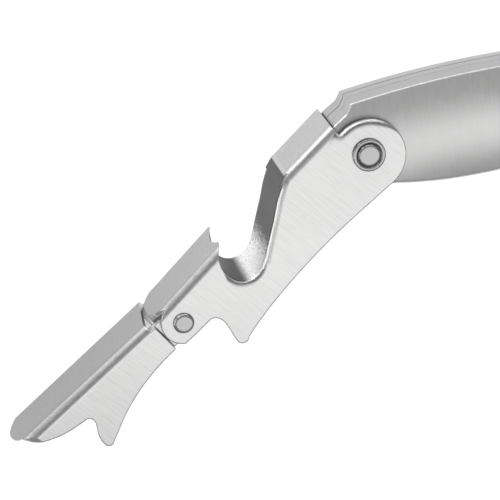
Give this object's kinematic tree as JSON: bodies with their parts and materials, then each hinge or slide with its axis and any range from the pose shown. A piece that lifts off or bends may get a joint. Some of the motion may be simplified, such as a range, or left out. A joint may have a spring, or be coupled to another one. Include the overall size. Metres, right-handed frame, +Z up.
{
  "type": "waiter's corkscrew",
  "caption": "All-metal waiter's corkscrew: an arched handle with a folding worm and foil blade, and a hinged bottle lever with a cap-lifter notch and two steps.",
  "frame": {"origin": "on the axis of the lever's pivot, in the plane of the flat rear rivet heads that the tool lies on", "axes": "+X along the handle from the lever's pivot to the blade's end, +Y towards the handle's arched back, +Z up out of the side that faces up"},
  "size_m": [0.1784, 0.0711, 0.0144],
  "materials": {
    "handle_steel": "satin, brushed across the handle",
    "lever_steel": "satin, brushed across the cheeks",
    "rivet_steel": "tumbled",
    "worm_steel": "polished",
    "blade_steel": "ground",
    "washer_brass": "plain"
  },
  "bodies": {
    "handle": {"side_plate_front": "handle_steel", "side_plate_rear": "handle_steel", "neck_spacer": "handle_steel", "spacer_pins": "handle_steel", "lever_pivot_rivet": "rivet_steel", "pivot_ring_front": "rivet_steel", "pivot_ring_rear": "rivet_steel", "lever_washers": "washer_brass", "worm_pin": "handle_steel", "knife_pin": "rivet_steel", "knife_ring_front": "rivet_steel", "knife_ring_rear": "rivet_steel", "knife_washers": "washer_brass", "spring_pin": "handle_steel"},
    "first_lever": {"first_lever": "lever_steel", "link_rivet": "rivet_steel", "link_sleeve": "rivet_steel"},
    "second_lever": {"second_lever": "lever_steel"},
    "worm": {"worm": "worm_steel", "worm_hub": "worm_steel"},
    "foil_blade": {"foil_blade": "blade_steel"},
    "knife_spring": {"knife_spring": "blade_steel"}
  },
  "joints": [
    {"name": "first_lever_swing", "type": "hinge", "parent": "handle", "child": "first_lever", "pos_m": [0, 0, 0.0072], "axis": [0, 0, 1], "range_deg": [0, 120]},
    {"name": "second_lever_swing", "type": "hinge", "parent": "first_lever", "child": "second_lever", "pos_m": [-0.03499, -0.03063, 0.0072], "axis": [0, 0, -1], "range_deg": [-85, 0]},
    {"name": "worm_swing", "type": "hinge", "parent": "handle", "child": "worm", "pos_m": [0.037, 0.0015, 0.0072], "axis": [0, 0, 1], "range_deg": [-85, 0]},
    {"name": "blade_swing", "type": "hinge", "parent": "handle", "child": "foil_blade", "pos_m": [0.102, 0.0044, 0.0072], "axis": [0, 0, 1], "range_deg": [-180, 0]},
    {"name": "blade_spring_lift", "type": "hinge", "parent": "handle", "child": "knife_spring", "pos_m": [0.0425, 0.0068, 0.0072], "axis": [0, 0, 1], "range_deg": [-1.5, 0], "stiffness_Nm_per_rad": 1}
  ]
}
